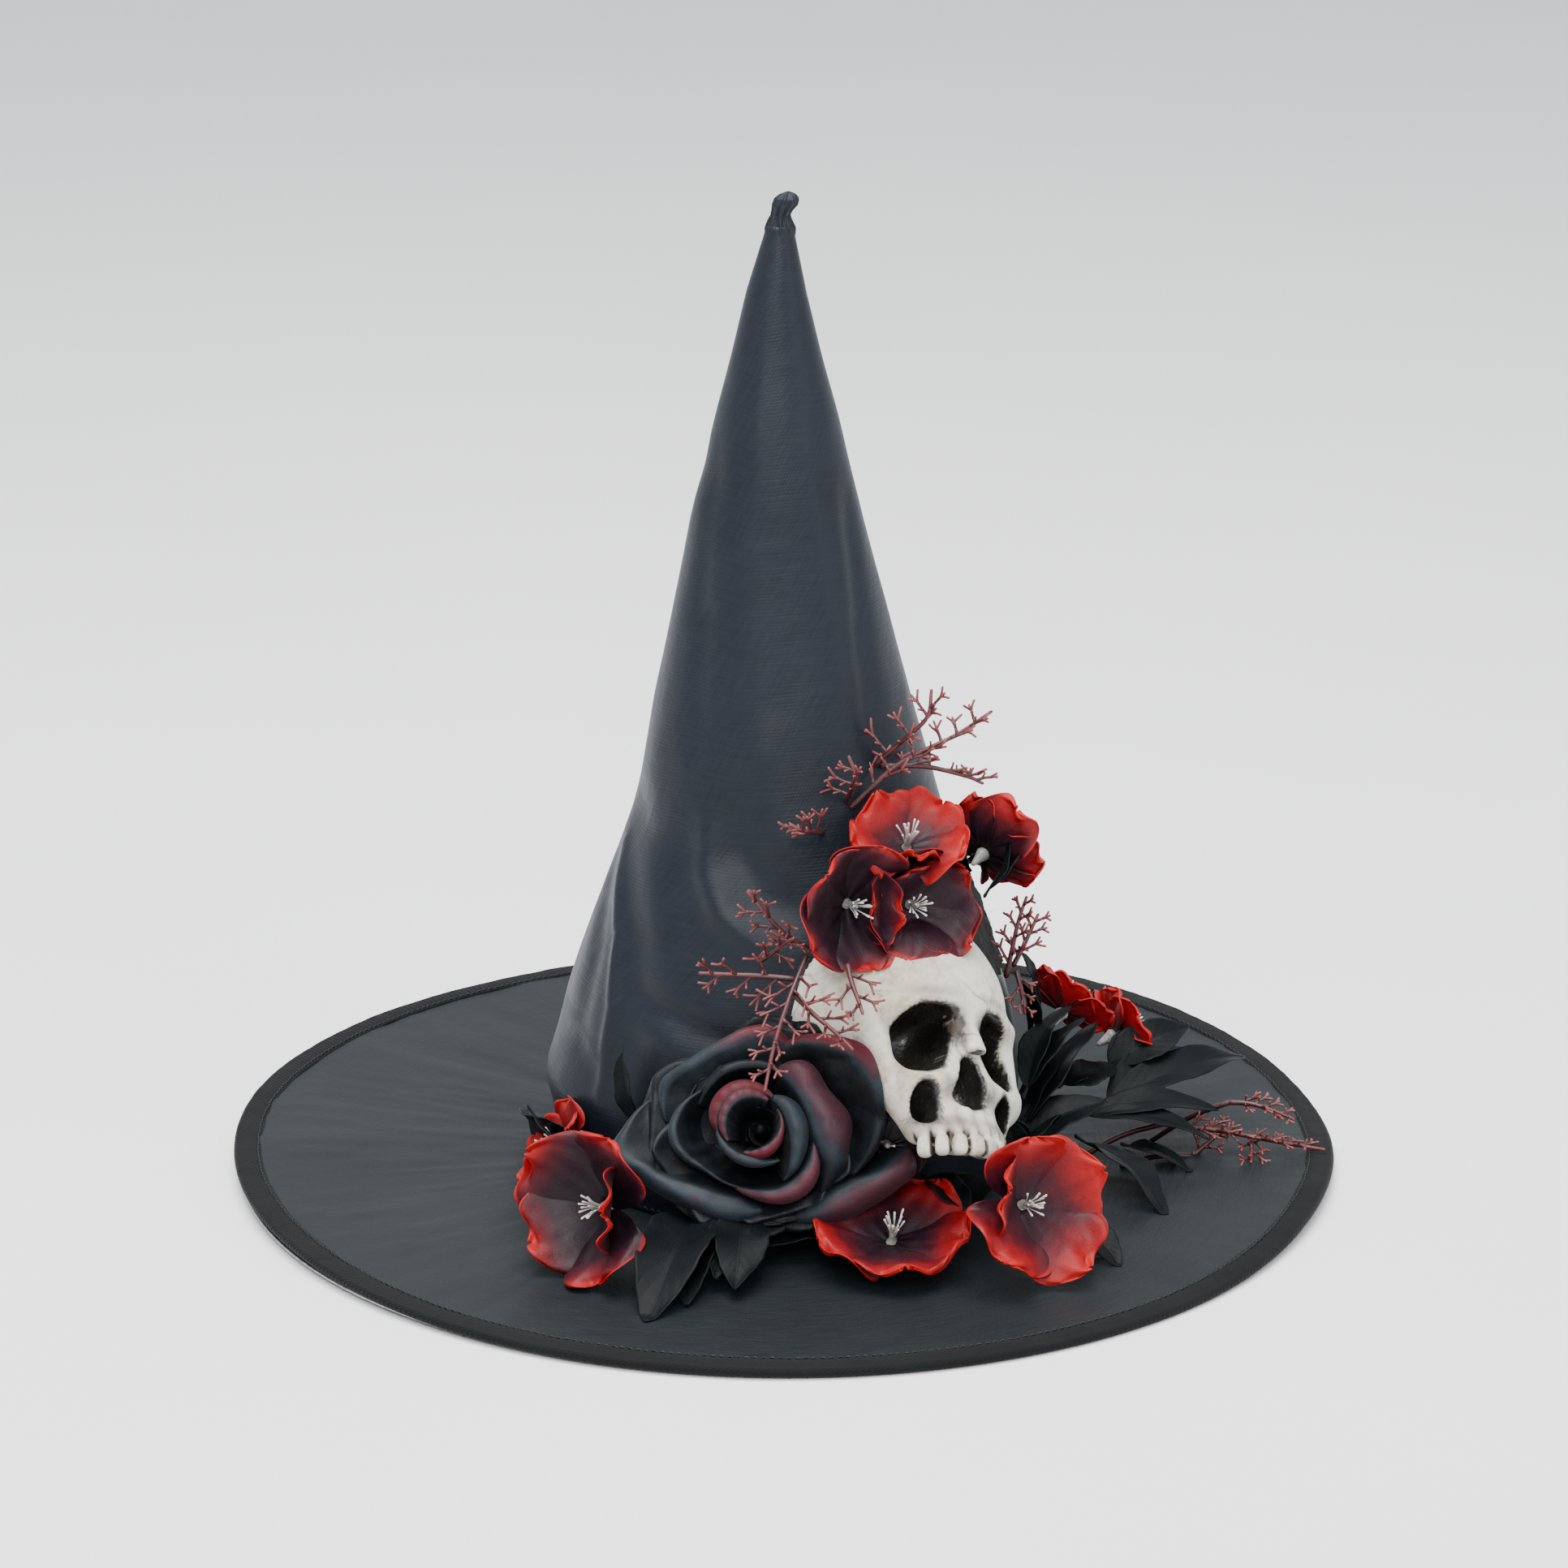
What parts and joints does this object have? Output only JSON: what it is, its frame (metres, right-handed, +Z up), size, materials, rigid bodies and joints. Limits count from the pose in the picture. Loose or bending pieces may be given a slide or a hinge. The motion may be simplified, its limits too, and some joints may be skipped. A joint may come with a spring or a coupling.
{
  "type": "witch hat",
  "caption": "Tall pointed witch hat with a wired round brim, trimmed in front with a jawless skull, a dark rose, red blossoms, black leaves and coral-like sprigs.",
  "frame": {"origin": "centre of the plane that the underside of the brim's binding rests on", "axes": "+Z up through the tip of the crown, -Y towards the front where the skull and the flowers are, +X to the right of a viewer who faces the front"},
  "size_m": [0.4199, 0.42, 0.372],
  "materials": {
    "shell_fabric": "satin-sheen woven polyester taffeta",
    "lining_fabric": "plain woven polyester",
    "spring_steel": "drawn wire",
    "binding_tape": "matte woven tape",
    "thread": "twisted polyester thread",
    "sweatband_tape": "ribbed grosgrain tape",
    "felt": "pressed felt",
    "hot_glue": "translucent hot-melt",
    "skull_resin": "antiqued off-white, dark wash in the hollows",
    "rose_satin": "brushed polyester satin, charcoal to burgundy",
    "calyx_plastic": "moulded",
    "blossom_satin": "red satin shading to black at the heart",
    "pin_plastic": "pale grey moulded plastic",
    "leaf_satin": "black satin with pressed midrib",
    "sprig_plastic": "dusty red moulded plastic"
  },
  "bodies": {
    "root": {"brim_cloth": "shell_fabric", "crown_cloth": "shell_fabric", "crown_seam": "shell_fabric", "tip_gather": "shell_fabric", "brim_lining": "lining_fabric", "crown_lining": "lining_fabric", "brim_hoop": "spring_steel", "brim_binding": "binding_tape", "binding_stitching": "thread", "crown_base_stitching": "thread", "sweatband": "sweatband_tape", "felt_backing": "felt", "glue_pads": "hot_glue", "skull": "skull_resin", "rose_outer_petals": "rose_satin", "rose_middle_petals": "rose_satin", "rose_inner_petals": "rose_satin", "rose_calyx": "calyx_plastic", "blossom_1_petals": "blossom_satin", "blossom_1_pin": "pin_plastic", "blossom_2_petals": "blossom_satin", "blossom_2_pin": "pin_plastic", "blossom_3_petals": "blossom_satin", "blossom_3_pin": "pin_plastic", "blossom_4_petals": "blossom_satin", "blossom_4_pin": "pin_plastic", "blossom_5_petals": "blossom_satin", "blossom_5_pin": "pin_plastic", "blossom_6_petals": "blossom_satin", "blossom_6_pin": "pin_plastic", "blossom_7_petals": "blossom_satin", "blossom_7_pin": "pin_plastic", "blossom_8_petals": "blossom_satin", "blossom_8_pin": "pin_plastic", "blossom_9_petals": "blossom_satin", "blossom_9_pin": "pin_plastic", "blossom_10_petals": "blossom_satin", "blossom_10_pin": "pin_plastic", "blossom_11_petals": "blossom_satin", "blossom_11_pin": "pin_plastic", "leaves_right_upper": "leaf_satin", "leaves_right_lower": "leaf_satin", "leaves_left": "leaf_satin", "leaves_under_rose": "leaf_satin", "leaves_under_skull": "leaf_satin", "leaves_top": "leaf_satin", "sprig_1": "sprig_plastic", "sprig_2": "sprig_plastic", "sprig_3": "sprig_plastic", "sprig_4": "sprig_plastic", "sprig_5": "sprig_plastic", "sprig_6": "sprig_plastic", "sprig_7": "sprig_plastic", "sprig_8": "sprig_plastic", "sprig_9": "sprig_plastic", "sprig_10": "sprig_plastic", "sprig_11": "sprig_plastic"}
  },
  "joints": []
}
